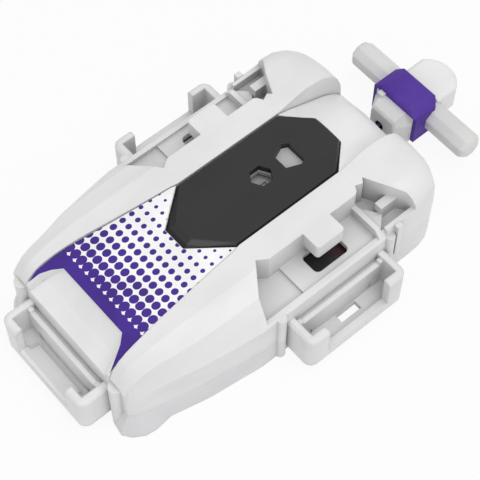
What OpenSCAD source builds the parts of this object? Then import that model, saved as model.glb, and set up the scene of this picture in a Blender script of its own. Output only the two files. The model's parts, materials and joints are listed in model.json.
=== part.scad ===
// Pull-string launcher for spinning tops. Millimetres, +Z up, +Y towards the pull handle.
// The origin is under the middle of the overall length, on the plane that the housing stands on.

/* [Housing] */
// Half width of the housing at its sills
body_half_w = 29.2; // [28.4:0.2:30.6]
// Height of the flat side bands
deck_z = 25.5; // [24.5:0.25:27]
// Height of the parting line between the two shells
part_z = 8.5; // [8.1:0.1:9]
// Distance from the middle to the front of the nose
nose_y = 57.6; // [57:0.2:59]
// Distance from the middle to the rear wall
rear_y = 38.15; // [37.4:0.25:40]
// Wall thickness of both shells
wall = 1.8; // [1.4:0.1:2]
// Rise of the two rear humps over the side bands
hump_rise = 2; // [0.5:0.25:3]

/* [Side pockets] */
// Height of the pocket floors
pocket_floor_z = 17.2; // [16.4:0.2:18]
// Height of the outer sills
sill_z = 18.1; // [17.6:0.1:19]
// Distance of the band edge from the middle plane
band_half_w = 18.6; // [18.2:0.1:19]
// Reach of the tab over the pocket
tab_reach = 5.4; // [3:0.2:7]
// Length of the tab along the housing
tab_len = 8.5; // [6:0.5:10]
// Length of the slot under the tab
slot_len = 10.5; // [9:0.25:12]
// Width of the slot under the tab
slot_w = 6; // [5:0.25:6.4]

/* [Top panel] */
// Half width of the black panel
panel_half_w = 11.1; // [10.4:0.1:11.3]
// Thickness of the panel
panel_t = 2; // [1.6:0.1:2.2]
// Corner radius of the hexagonal window
hex_r = 3.05; // [2.8:0.05:3.5]
// Thickness of the printed label
label_t = 0.15; // [0.1:0.05:0.3]

/* [Grip sockets] */
// Length of a grip socket
socket_len = 31; // [28:0.5:33]
// Reach of a grip socket out of the housing
socket_reach = 8.65; // [8:0.05:10]
// Height of the underside of a socket
socket_z = 2.3; // [1.5:0.1:3]
// Height of the top of its end walls
socket_top_z = 13.8; // [12.5:0.1:15]
// Thickness of its end walls and hooks
socket_wall = 2.1; // [1.6:0.1:2.2]
// Radius of its outer corners
socket_corner_r = 2.4; // [2:0.1:3]
// Radius of the half round posts beside a socket
post_r = 1.3; // [1:0.1:1.6]

/* [Launch head] */
// Radius of the round well under the housing
well_r = 18.6; // [18.2:0.1:20]
// Radius of the launch disc
disc_r = 17.5; // [16.5:0.1:17.9]
// Thickness of the launch disc
disc_t = 1.6; // [1.2:0.1:1.8]
// Radius of the centre spigot that a top sits on
spigot_r = 4.6; // [4:0.1:5]
// Number of hooks that hold a top
hook_count = 3; // [2:1:4]
// Radius of the inside of the hooks
hook_in_r = 11.6; // [10.5:0.1:12.4]
// Radius of the launch shaft
shaft_r = 2.5; // [2:0.1:3]
// Travel of the release plunger
plunger_travel = 1.6; // [0.8:0.1:1.8]
// Radius of the plunger
plunger_r = 2.9; // [2.6:0.05:3.1]

/* [Gear train] */
// Gear module
gear_m = 0.8; // [0.75:0.01:0.82]
// Teeth of the reel gear
reel_teeth = 36; // [34:1:37]
// Teeth of the idler gear
idler_teeth = 14; // [13:1:16]
// Teeth of the launch pinion
pinion_teeth = 12; // [11:1:13]
// Width of the gear teeth
gear_w = 2.8; // [2:0.1:3]
// Distance between the reel axle and the launch axis
reel_gap = 27; // [26.6:0.1:27.6]

/* [String reel] */
// Radius of the reel flanges
flange_r = 14.9; // [13.6:0.1:15.2]
// Radius of the drum that the string winds on
drum_r = 9; // [8.6:0.1:10]
// Thickness of the drum wall
drum_wall = 1.4; // [1:0.1:1.8]
// Thickness of the flanges
flange_t = 1; // [0.8:0.1:1.1]
// Diameter of the string
string_d = 1; // [0.8:0.05:1.1]
// Layers of string on the drum
string_layers = 2; // [1:1:3]
// Turns of string beside each other
string_rows = 4; // [3:1:4]
// Radius of the steel axle
axle_r = 2; // [1.6:0.1:2.2]
// Turns of the flat recoil spring
spring_turns = 5; // [3:1:6]
// Thickness of the spring strip
spring_t = 0.3; // [0.2:0.05:0.4]

/* [Handle] */
// Overall length of the pull bar
bar_len = 42.2; // [36:0.2:46]
// Radius of the pull bar
bar_r = 3.45; // [3.3:0.05:3.6]
// Distance of the bar axis from the middle
bar_y = 54.1; // [53.8:0.1:54.6]
// Height of the bar axis
bar_z = 9.9; // [9.5:0.1:10.5]
// Distance of the nose block's front face from the middle
nose_block_y = 41.65; // [41:0.25:43]
// Distance of the rear knob's end from the middle
knob_y = 66.25; // [64:0.25:70]
// Half width of the rear knob
knob_half_w = 6.3; // [5.5:0.1:7]
// Height of the purple saddle's top
saddle_z = 17; // [16.4:0.1:18]

/* [Fits] */
// Radial clearance of a running fit
run_gap = 0.05; // [0.03:0.01:0.08]
// Clearance between parts that move past each other
free_gap = 0.3; // [0.25:0.05:0.4]
// Gap round an inset part
inset_gap = 0.15; // [0.1:0.05:0.25]

/* [Hidden] */
$fn = 64;

// Launch axis and reel axis
launch_y = 1.25;
reel_y = launch_y - reel_gap;

// Levels of the mechanism, from the floor of the lower shell up
floor_t = 1.6;
hook_z = 0.6;
disc_z = 4.8;
chassis_z = disc_z + disc_t + 0.5;
chassis_t = 1.2;
reel_z = chassis_z + chassis_t + free_gap;
winding_z = reel_z + flange_t;
winding_h = string_rows * string_d;
gear_z = winding_z + winding_h + flange_t;
cover_z = gear_z + gear_w + 0.6;
cover_t = 1.4;
string_z = winding_z + string_d / 2 + 0.3;
exit_z = 9.5;

// Places along the nose and along the humps, as shares of each stretch from 0 to 1
bow_y = -40.25;
hump_foot = 15.65;
function fore(u) = u * (bow_y + nose_y) - nose_y;
function aft(u) = hump_foot + u * (rear_y - hump_foot);

// Half width of the housing at the parting line: a list of [y, x] along the side
side_line = [[-nose_y, body_half_w - 7.6], [fore(0.08), body_half_w - 6.3], [fore(0.4), body_half_w - 4.8],
             [bow_y + 2.4, body_half_w - 1.9], [bow_y + 8, body_half_w - 1.2], [bow_y + 17.1, body_half_w]];
hump_start = aft(0.438);
hump_corner = rear_y - hump_start;
corner_in = body_half_w - hump_corner;
corner_power = 2.5;
function corner_x(y) = let (u = (y - hump_start) / hump_corner)
    corner_in + hump_corner * pow(max(0, 1 - pow(u, corner_power)), 1 / corner_power);
corner_ys = [for (t = [0:15:75]) hump_start + hump_corner * sin(t), rear_y - 0.08, rear_y];
rear_corner = [for (y = corner_ys) [y, corner_x(y)]];
side_half = concat(side_line, rear_corner);
// Outline from its right half, whose points run from the front to the rear
function mirrored(half) = concat(half, [for (i = [len(half) - 1:-1:0]) [-half[i][0], half[i][1]]]);
outline = mirrored([for (p = side_half) [p[1], p[0]]]);

// Inner edge of a side band, which is the edge of the spine
panel_side = [-15.75, 15.95];
nose_half_w = socket_len / 2 + 0.4;
band_foot_y = panel_side[0] + 0.5;
hump_in = panel_half_w + inset_gap;
function band_x(y) = lookup(y, [[-nose_y, nose_half_w], [fore(0.19), nose_half_w - 0.3],
    [fore(0.54), nose_half_w - 0.8], [bow_y, nose_half_w - 1.7], [bow_y + 13, hump_in + 1.45],
    [band_foot_y - 2, hump_in + 0.45], [band_foot_y, hump_in], [rear_y, hump_in]]);

// Drop of the band top below the deck along the nose
function nose_drop(y) = lookup(y, [[-nose_y, 6.6], [fore(0.06), 4.9], [fore(0.13), 3.6], [fore(0.19), 2.7],
                                   [fore(0.32), 1.6], [fore(0.54), 0.8], [fore(0.78), 0.25], [bow_y, 0]]);

// Profile of a hump's crest along the housing
roll_z = 14.3;
function hump_top(y) = y < hump_start
    ? deck_z + hump_rise * (1 - cos(180 * (y - hump_foot) / (hump_start - hump_foot))) / 2
    : let (u = (y - hump_start) / (rear_y - hump_start), rise = deck_z + hump_rise - roll_z)
      roll_z + rise * pow(max(0, 1 - pow(u, 2.4)), 1 / 2.4);

// Spine surface: edge height and middle height along the housing
function spine_edge_z(y) = deck_z - lookup(y, [[-nose_y, 6.4], [fore(0.03), 5.7], [fore(0.19), 3.2],
    [fore(0.46), 1.6], [fore(0.67), 1], [band_foot_y, 0.4], [hump_foot, 0.2], [aft(0.19), 1.5], [aft(0.45), 3.9],
    [aft(0.75), 6.5], [aft(0.9), 8.9], [rear_y, 11.2]]);
function spine_mid_z(y) = deck_z - lookup(y, [[-nose_y, 6.3], [fore(0.03), 5.6], [fore(0.19), 3.1],
    [fore(0.46), 1.5], [fore(0.67), 0.9], [band_foot_y, 0.33], [hump_foot, 0.13], [aft(0.32), 0.6],
    [aft(0.5), 1.2], [aft(0.66), 2.1], [aft(0.78), 3.5], [aft(0.9), 6.2], [rear_y, 10.6]]);
function spine_low_z(y) = min(spine_edge_z(y), deck_z - 1) - lookup(y, [[-nose_y, 4.4], [fore(0.44), 2.2]]);
spine_ys = concat([for (u = [0, 0.03, 0.19, 0.32, 0.46, 0.54, 0.67, 1]) fore(u)],
                  [bow_y + 13, band_foot_y - 2, band_foot_y],
                  [for (u = [0, 0.19, 0.32, 0.45, 0.57, 0.68, 0.78, 0.85, 0.91, 0.965, 1]) aft(u)]);

// Panel outline and windows
panel_front_y = -25.45;
panel_rear_y = 22.75;
panel_front_x = 3.3;
panel_rear_x = 4.65;
panel_bevel = 0.6;
panel_seat_z = deck_z - panel_t;
hex_y = launch_y;
window_y = [7.25, 10.95, 12.45];
window_x = [2.2, 3.75, 3];
window_points = [[-window_x[0], window_y[0]], [window_x[0], window_y[0]], [window_x[1], window_y[1]],
                 [window_x[2], window_y[2]], [-window_x[2], window_y[2]], [-window_x[1], window_y[1]]];

// Pocket layout
pocket_plan = [[band_half_w - 1.8, -15.05], [band_half_w + 5.5, -20.25], [body_half_w - 0.7, -21.35],
               [body_half_w + 2, -22], [body_half_w + 2, 25.9], [body_half_w - 3.2, 24.6],
               [band_half_w + 3.6, 21.9], [band_half_w - 2.4, 19.05], [band_half_w - 1.2, 18.2],
               [band_half_w - 2, 16.4], [band_half_w - 0.6, 15.6], [band_half_w, 14.8],
               [band_half_w, -12.4]];
pocket_keep = [[band_half_w - 3.4, -15.6], [band_half_w + 5.1, -22], [body_half_w + 2, -23.8],
               [body_half_w + 2, 27.8], [body_half_w - 3.7, 26.4], [band_half_w + 3, 23.6],
               [band_half_w - 4, 20.2], [band_half_w - 3.4, 14.4], [band_half_w - 1.6, 13.6],
               [band_half_w - 1.6, -12.8]];
pocket_t = 1.6;
pocket_step_y = -9;
pocket_step = 0.8;
sill_w = 1.7;
tab_y = 2.2;
tab_t = 4.5;
pillar = [2.3, 6.2, 5.3];
slot_x = body_half_w - 6.7;
rear_wall_y = 13.9;
rear_wall_z = pocket_floor_z + 3.1;

// Socket layout
side_socket_y = -0.35;
lip_z = 5.1;
floor_top_z = socket_z + 1.5;
rail_w = 1.4;
rail_in = 0.9;
rail_z = 12.2;
hook_len = 6;
groove_z = 11.2;
socket_edge = 0.7;

// Levels and radii of the mechanism's own pieces
spigot_z = 0.9;
plunger_low_z = 0.5;
hub_r = 4.6;
hub_top_z = chassis_z + chassis_t + 0.5;
hook_angle = 26;
shaft_top_z = 21;
idler_pin_r = 1.5;
idler_pin_z = chassis_z + chassis_t + 1.4;
reel_h = 2 * flange_t + winding_h;
bush_r = 1.9;
bush_flange_r = 2.6;
bush_bore_r = 0.95;
string_hole_r = 1.3;

// Fastener layout
screw_r = 1.4;
small_r = 0.9;
boss_r = 3;
case_seat_z = 3;
case_head_r = 2.6;
socket_screw_y = 9.5;
socket_screw_z = 5.2;
socket_head_r = 1.3;
case_screws = mirrored([[body_half_w - 10.4, reel_y - 22.85], [body_half_w - 8.6, rear_y - 8.55]]);
cover_posts = mirrored([[flange_r + 1.1, reel_y - 16.45], [band_half_w - 4.4, launch_y + 2.75]]);
cover_post_r = 2.2;
chassis_bosses = mirrored([[body_half_w - 7.2, reel_y - 4.25], [body_half_w - 7.7, launch_y + 16.75]]);

// Skin through sections that share a count of points; a section is [y, [[x, z], ...]]
module loft(sections) {
    n = len(sections[0][1]);
    m = len(sections);
    points = [for (s = sections) for (p = s[1]) [p[0], s[0], p[1]]];
    skin = [for (i = [0:m - 2]) for (j = [0:n - 1])
            let (a = i * n + j, b = i * n + (j + 1) % n)
            each [[a, b, b + n], [a, b + n, a + n]]];
    start = [[for (j = [n - 1:-1:0]) j]];
    end = [[for (j = [0:n - 1]) (m - 1) * n + j]];
    polyhedron(points = points, faces = concat(start, skin, end), convexity = 6);
}

// Outline moved inwards by a distance; the points run anticlockwise
function unit(v) = v / norm(v);
function left_of(v) = [-v[1], v[0]];
function moved_in(points, d) = [for (i = [0:len(points) - 1])
    let (n = len(points), p = points[i],
         a = left_of(unit(p - points[(i + n - 1) % n])),
         b = left_of(unit(points[(i + 1) % n] - p)))
    p + d * (a + b) / (1 + a * b)];

module at(points, z = 0) {
    for (p = points) translate([p[0], p[1], z]) children();
}

module both_sides() {
    children();
    mirror([1, 0, 0]) children();
}

// Rounded rectangle from plain shapes, so that its corners stay true arcs
module round_rect(size, r) {
    square([size[0] - 2 * r, size[1]], center = true);
    square([size[0], size[1] - 2 * r], center = true);
    for (x = [-1, 1]) for (y = [-1, 1])
        translate([x * (size[0] / 2 - r), y * (size[1] / 2 - r)]) circle(r);
}

// Involute gear outline with a tooth centred on the X axis
pressure = 25;
backlash = 0.1;
function inv_deg(r, base) = r <= base ? 0 : let (a = acos(base / r)) tan(a) * 180 / PI - a;
function tooth_half(r, n) = let (pitch = n * gear_m / 2, base = pitch * cos(pressure))
    90 / n - backlash / pitch * 90 / PI + inv_deg(pitch, base) - inv_deg(r, base);
module gear_outline(n) {
    pitch = n * gear_m / 2;
    root = pitch - 1.2 * gear_m;
    tip = pitch + 0.9 * gear_m;
    radii = [root, max(root + 0.2, pitch * cos(pressure)), pitch, (pitch + tip) / 2, tip];
    polygon([for (k = [0:n - 1]) each concat(
        [for (r = radii) let (a = k * 360 / n - tooth_half(r, n)) r * [cos(a), sin(a)]],
        [for (i = [len(radii) - 1:-1:0]) let (r = radii[i], a = k * 360 / n + tooth_half(r, n))
            r * [cos(a), sin(a)]])]);
}

// Places and phases of the meshing gears
function pitch_r(n) = n * gear_m / 2;
reel_idler = pitch_r(reel_teeth) + pitch_r(idler_teeth);
idler_pinion = pitch_r(idler_teeth) + pitch_r(pinion_teeth);
idler_dy = (reel_idler * reel_idler - idler_pinion * idler_pinion + reel_gap * reel_gap) / (2 * reel_gap);
idler_x = -sqrt(reel_idler * reel_idler - idler_dy * idler_dy);
idler_y = reel_y + idler_dy;
to_idler = atan2(idler_dy, idler_x);
to_pinion = atan2(launch_y - idler_y, -idler_x);
idler_phase = to_idler + 180 + 180 / idler_teeth;
idler_pitch = 360 / idler_teeth;
idler_shift = (idler_phase - to_pinion) - idler_pitch * round((idler_phase - to_pinion) / idler_pitch);
pinion_phase = to_pinion + 180 - idler_shift * idler_teeth / pinion_teeth + 180 / pinion_teeth;

// Cross-section of the right side body in front of the hump
side_line_x = concat(side_line, [[rear_y, body_half_w]]);
function front_side(y, base) = let (drop = nose_drop(y), out = lookup(y, side_line_x),
    soft = lookup(y, [[-nose_y, 1], [fore(0.54), 0.35], [bow_y, 0]]),
    crease = lookup(y, [[-nose_y, 0.5], [bow_y, 0.1], [bow_y + 17.1, 0]]),
    facet = lookup(y, [[-nose_y, 3], [fore(0.54), 2.1], [bow_y + 2.25, 0.35], [bow_y + 17.1, 0]]))
    [[band_x(y), base], [out, base], [out - crease, sill_z - 0.6 - drop * 0.7],
     [body_half_w - 5.1 - facet, deck_z - 2 - drop * 0.92],
     [band_half_w - soft * 0.5, deck_z - drop * 1.01], [band_x(y), deck_z - drop]];
front_ys = concat([for (u = [0, 0.06, 0.13, 0.19, 0.32, 0.54, 0.78, 1]) fore(u)],
                  [bow_y + 8, bow_y + 13, bow_y + 17.1, band_foot_y - 2, band_foot_y, aft(0.19)]);
front_cavity_ys = [for (y = front_ys) if (y > fore(0.15)) y];

// Section of the cavity: the body's own, moved in by the wall, with its two upper corners kept apart
function front_cavity(y) = let (s = moved_in(front_side(y, cavity_base), wall), n = len(s),
    x = min(s[n - 1][0], s[n - 2][0] - 0.2))
    [for (i = [0:n - 1]) i == 0 || i == n - 1 ? [x, s[i][1]] : s[i]];

// Cross-section of a hump; its outer shoulder is a superellipse
shoulder_in = 16;
shoulder_h = 9.5;
shoulder_steps = [0, 17, 32, 48, 66, 90];
function hump_side(y, base) = let (top = hump_top(y), out = y < hump_start ? body_half_w : corner_x(y),
    low = max(part_z + 0.6, top - shoulder_h), sx = min(shoulder_in, out - 4))
    concat([[hump_in, base], [out, base]],
        [for (a = shoulder_steps) [sx + (out - sx) * pow(cos(a), 0.8), low + (top - low) * pow(sin(a), 0.8)]],
        [[hump_in, top]]);
roll_ys = [for (t = [0:15:75]) hump_start + (rear_y - hump_start) * sin(t)];
hump_ys = concat([for (u = [0.02, 0.08, 0.19, 0.3]) aft(u)], roll_ys, [rear_y - 0.08, rear_y]);
hump_cavity_ys = concat([for (u = [0.02, 0.19, 0.3]) aft(u)], [for (y = roll_ys) if (y < rear_y - wall - 1) y], [rear_y - wall - 0.6]);
cavity_base = part_z - 4;

module side_skin() {
    loft([for (y = front_ys) [y, front_side(y, part_z)]]);
    loft([for (y = hump_ys) [y, hump_side(y, part_z)]]);
}

module side_cavity() {
    difference() {
        union() {
            loft([for (y = front_cavity_ys) [y, front_cavity(y)]]);
            loft([for (y = hump_cavity_ys) [y, moved_in(hump_side(y, cavity_base), wall)]]);
        }
        translate([0, 0, pocket_floor_z - pocket_t]) linear_extrude(20) polygon(pocket_keep);
    }
}

// Block between the side bodies, under the spine cover
middle_cavity_ys = concat([wall - nose_y],
    [for (y = spine_ys) if (y > wall + 1 - nose_y && y < rear_y - wall - 1) y], [rear_y - wall]);
module middle(low_z, half_x, drop, ys) {
    loft([for (y = ys) let (x = band_x(y) + half_x, z = spine_low_z(y) - drop)
        [y, [[-x, low_z], [x, low_z], [x, z], [-x, z]]]]);
}

module pocket_cut() {
    inner_x = body_half_w - sill_w;
    translate([0, 0, sill_z]) linear_extrude(20) difference() {
        polygon(pocket_plan);
        translate([inner_x, rear_wall_y]) square([10, 5]);
        translate([inner_x, rear_wall_y]) square([sill_w, 20]);
        translate([0, rear_wall_y]) square([inner_x + 1, 1.4]);
    }
    translate([0, 0, rear_wall_z]) linear_extrude(20) polygon(pocket_plan);
    translate([0, 0, pocket_floor_z]) linear_extrude(20) intersection() {
        polygon(pocket_plan);
        union() {
            translate([0, -40]) square([inner_x, 40 + rear_wall_y]);
            translate([0, rear_wall_y + 1.4]) square([inner_x, 20]);
        }
    }
    translate([0, 0, pocket_floor_z - pocket_step]) linear_extrude(20) intersection() {
        polygon(pocket_plan);
        translate([0, -40]) square([inner_x, 40 + pocket_step_y]);
    }
}

module pocket_details() {
    // Tab over the slot
    translate([0, 0, deck_z - tab_t]) linear_extrude(tab_t) intersection() {
        translate([band_half_w, tab_y]) round_rect([2 * tab_reach, tab_len], 1);
        translate([band_half_w - 1, tab_y - tab_len]) square([20, 2 * tab_len]);
    }
    // Gusset behind the low wall
    translate([0, 0, pocket_floor_z - 0.5]) linear_extrude(2.6)
        polygon([[band_half_w - 0.5, rear_wall_y + 1], [body_half_w - sill_w + 0.2, rear_wall_y + 1],
                 [body_half_w - 5.2, rear_wall_y + 5]]);
    // Pillar in front of the hump
    translate([body_half_w - 7.4, rear_wall_y + 4.4, pocket_floor_z - 0.5]) cube(pillar);
    // Vertical rib beside the socket
    translate([body_half_w - 0.5, 18.4, part_z]) cube([1.5, 1.7, 12]);
}

module wall_posts(low, high) {
    both_sides() for (side = [-1, 1])
        translate([body_half_w, side_socket_y + side * (socket_len / 2 + 1.8), low])
            cylinder(r = post_r, h = high - low);
    both_sides() translate([socket_len / 2 + 2.4, -nose_y, low]) cylinder(r = post_r + 0.5, h = high - low);
}

module bush_bore(r) {
    translate([0, rear_y + 5, exit_z]) rotate([90, 0, 0]) cylinder(r = r, h = 10);
}

module upper_shell() {
    color("whitesmoke") difference() {
        union() {
            difference() {
                union() {
                    both_sides() side_skin();
                    middle(part_z, 0.6, 0, spine_ys);
                    wall_posts(part_z, sill_z - 0.3);
                }
                difference() {
                    union() {
                        both_sides() side_cavity();
                        middle(part_z - 1, wall + 2, wall, middle_cavity_ys);
                    }
                    at(case_screws, part_z - 2) cylinder(r = boss_r, h = 20);
                }
                both_sides() pocket_cut();
            }
            both_sides() pocket_details();
        }
        both_sides() translate([slot_x, tab_y - 0.2, pocket_floor_z - 5])
            linear_extrude(8) round_rect([slot_w, slot_len], 1.4);
        translate([0, hex_y, deck_z - 8]) linear_extrude(8) hexagon(0.8);
        at(case_screws, part_z - 1) cylinder(r = screw_r, h = 9);
        bush_bore(bush_r + inset_gap);
    }
}

module hexagon(grow = 0) {
    rotate(90) circle(hex_r + grow, $fn = 6);
}

function panel_outline() = let (s = [[panel_front_x, panel_front_y], [panel_half_w, panel_side[0]],
    [panel_half_w, panel_side[1]], [panel_rear_x, panel_rear_y]])
    mirrored(s);
function panel_top_outline() = let (b = panel_bevel, s = [[panel_front_x - 0.65, panel_front_y + 2.8],
    [panel_half_w - b, panel_side[0] + b], [panel_half_w - b, panel_side[1] - b / 2],
    [panel_rear_x - b / 2, panel_rear_y - b]])
    mirrored(s);

module spine_skin(low, high, gap) {
    steps = [1, 0.75, 0.5, 0.25, 0, -0.25, -0.5, -0.75, -1];
    loft([for (y = spine_ys) let (x = band_x(y) - gap, e = spine_edge_z(y), m = spine_mid_z(y))
        [y, concat([[-x, spine_low_z(y) + low], [x, spine_low_z(y) + low]],
                   [for (t = steps) [x * t, e + (m - e) * (1 - t * t) + high]])]]);
}

// Hollow at the nose: a cylinder along X through two points of its profile
scoop_y = fore(0.46);
scoop_r = 15;
scoop_a = [scoop_y, deck_z - 2.2];
scoop_b = [-nose_y - 0.6, deck_z - 8.2];
module scoop() {
    mid = (scoop_a + scoop_b) / 2;
    half = norm(scoop_b - scoop_a) / 2;
    centre = mid + sqrt(scoop_r * scoop_r - half * half) * unit(left_of(scoop_b - scoop_a)) * -1;
    edge = [[scoop_y, 4.4], [fore(0.35), 2.8], [fore(0.21), 1.6], [-nose_y - 2.4, 1.2]];
    intersection() {
        translate([-20, centre[0], centre[1]]) rotate([0, 90, 0]) cylinder(r = scoop_r, h = 40, $fn = 96);
        linear_extrude(40) polygon(mirrored([for (p = edge) [band_x(p[0]) - p[1], p[0]]]));
    }
}

module spine_cover() {
    color("white") difference() {
        spine_skin(0, 0, inset_gap);
        translate([0, 0, panel_seat_z]) linear_extrude(9) polygon(moved_in(panel_outline(), -inset_gap));
        translate([0, hex_y, deck_z - 6]) linear_extrude(6) hexagon(0.3);
        scoop();
    }
}

module printed_label() {
    tail = [[scoop_y, 4.25], [fore(0.34), 2.55], [fore(0.2), 1.35], [fore(0.04), 0.4]];
    side = [for (y = [fore(0.21), fore(0.54), bow_y, bow_y + 13, panel_side[0] - 0.65]) [y, inset_gap]];
    half = [for (p = concat(tail, side)) [band_x(p[0]) - p[1], p[0]]];
    color("indigo") difference() {
        intersection() {
            difference() {
                spine_skin(0, label_t, inset_gap + 0.1);
                spine_skin(-1, 0, -1);
            }
            linear_extrude(40) polygon(mirrored(half));
        }
        translate([0, 0, panel_seat_z - 1]) linear_extrude(9) polygon(moved_in(panel_outline(), -inset_gap * 2));
    }
}

module top_panel() {
    color("#3c3c3c") difference() {
        hull() {
            translate([0, 0, panel_seat_z]) linear_extrude(panel_t - 1.1) polygon(panel_outline());
            translate([0, 0, deck_z - 0.1]) linear_extrude(0.1) polygon(panel_top_outline());
        }
        translate([0, 0, panel_seat_z - 1]) linear_extrude(9) {
            translate([0, hex_y]) hexagon();
            polygon(window_points);
        }
    }
}

ring_wall = 1.5;
chassis_boss_r = 2.8;
module outline_prism(low, high, inset = 0) {
    translate([0, 0, low]) linear_extrude(high - low)
        polygon(inset > 0 ? moved_in(outline, inset) : outline);
}

module lower_shell() {
    color("gainsboro") difference() {
        union() {
            difference() {
                outline_prism(0, part_z);
                outline_prism(floor_t, part_z + 1, wall);
            }
            translate([0, launch_y, 0]) cylinder(r = well_r + ring_wall, h = chassis_z);
            at(case_screws) cylinder(r = boss_r, h = part_z);
            at(chassis_bosses) cylinder(r = chassis_boss_r, h = chassis_z);
            wall_posts(0.4, part_z);
            both_sides() translate([body_half_w, -nose_y, 0]) hull() {
                linear_extrude(1.4) polygon([[-12.2, 0.6], [-11.6, -1.8], [-8, -2.4], [-5.8, -0.8], [-4.1, 2],
                    [-3.7, 5], [-4.2, 9.6]]);
                linear_extrude(part_z - 0.6) polygon([[-11.6, 0.4], [-7.8, 0.1], [-6.5, 1.5], [-5.6, 5.2]]);
            }
        }
        translate([0, launch_y, -1]) cylinder(r = well_r, h = chassis_z + 2);
        at(case_screws, -1) cylinder(r = screw_r, h = part_z + 2);
        at(case_screws, -1) cylinder(r = case_head_r, h = case_seat_z + 1);
        at(chassis_bosses, floor_t) cylinder(r = small_r, h = chassis_z);
        at_sockets() socket_holes(small_r, -4, 1);
        bush_bore(bush_r + inset_gap);
    }
}

module grip_socket(plate_len = 0) {
    half = socket_len / 2;
    w = socket_wall;
    reach = socket_reach;
    module outline_2d(inset = 0) {
        translate([0, inset - half]) square([reach - socket_corner_r, socket_len - 2 * inset]);
        translate([0, socket_corner_r - half]) square([reach - inset, socket_len - 2 * socket_corner_r]);
        for (side = [-1, 1]) translate([reach - socket_corner_r, side * (half - socket_corner_r)])
            circle(socket_corner_r - inset, $fn = 32);
    }
    color("whitesmoke") difference() {
        union() {
            translate([0, 0, socket_z]) linear_extrude(socket_top_z - socket_z - socket_edge) outline_2d();
            hull() {
                translate([0, 0, socket_top_z - socket_edge - 0.1]) linear_extrude(0.1) outline_2d();
                translate([0, 0, socket_top_z - 0.1]) linear_extrude(0.1) outline_2d(socket_edge);
            }
        }
        // Channel between the rail and the hooks; a plate may fill its floor up to the lip
        difference() {
            translate([rail_in + rail_w, w - half, floor_top_z])
                cube([reach - rail_in - rail_w - w, socket_len - 2 * w, 20]);
            if (plate_len > 0) translate([rail_in + rail_w + 1.5, -plate_len / 2, 0]) cube([reach, plate_len, lip_z]);
        }
        // Open front over the lip
        translate([reach - w - 1, hook_len - half, lip_z]) cube([9, socket_len - 2 * hook_len, 20]);
        // Groove behind the rail
        translate([-1, w - half, groove_z]) cube([1 + rail_in, socket_len - 2 * w, 20]);
        // Rail top between its end steps
        translate([-1, 3.2 - half, rail_z]) cube([1 + rail_in + rail_w, socket_len - 6.4, 20]);
        translate([-1, w - half, rail_z + 0.9]) cube([1 + rail_in + rail_w, socket_len - 2 * w, 20]);
        // Hole in an open floor
        if (plate_len == 0) translate([rail_in + rail_w + 0.3, -1.75, 0]) cube([2.3, 6.3, 20]);
        socket_holes(small_r, -1, 6);
        socket_holes(socket_head_r, 1.3, 6);
    }
}

module grip_socket_right() {
    translate([body_half_w, side_socket_y, 0]) grip_socket();
}

module grip_socket_left() {
    mirror([1, 0, 0]) grip_socket_right();
}

module grip_socket_front() {
    translate([0, -nose_y, 0]) rotate(-90) grip_socket(socket_len - 2 * hook_len);
}

module at_sockets() {
    translate([body_half_w, side_socket_y, 0]) children();
    translate([-body_half_w, side_socket_y, 0]) rotate(180) children();
    translate([0, -nose_y, 0]) rotate(-90) children();
}

module socket_holes(r, low, high) {
    for (side = [-1, 1]) translate([low, side * socket_screw_y, socket_screw_z]) rotate([0, 90, 0])
        cylinder(r = r, h = high - low);
}

module socket_screws() {
    color("silver") at_sockets() {
        socket_holes(small_r, -3.5, 1.4);
        for (side = [-1, 1]) translate([1.3, side * socket_screw_y, socket_screw_z]) rotate([0, 90, 0])
            difference() {
                cylinder(r = socket_head_r, h = 1);
                translate([0, 0, 1.6]) cube([0.5, 1.9, 2.2], center = true);
                translate([0, 0, 1.6]) cube([1.9, 0.5, 2.2], center = true);
            }
    }
}

// Pan head screw that points down, with its seat at z 0
module pan_screw(r, length, head_r, head_h) {
    translate([0, 0, -length]) cylinder(r = r, h = length);
    difference() {
        cylinder(r = head_r, h = head_h);
        translate([0, 0, head_h]) cube([0.6, head_r * 1.3, head_h], center = true);
        translate([0, 0, head_h]) cube([head_r * 1.3, 0.6, head_h], center = true);
    }
}

module case_screws() {
    color("silver") at(case_screws, case_seat_z) rotate([180, 0, 0]) pan_screw(screw_r, 12, case_head_r - 0.15, 1.7);
}

module chassis_screws() {
    color("silver") at(chassis_bosses, chassis_z + chassis_t) pan_screw(small_r, 5.4, 1.9, 1.1);
}

module cover_screws() {
    color("silver") at(cover_posts, cover_z + cover_t) pan_screw(small_r, 5, 1.7, 1);
}

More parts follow.
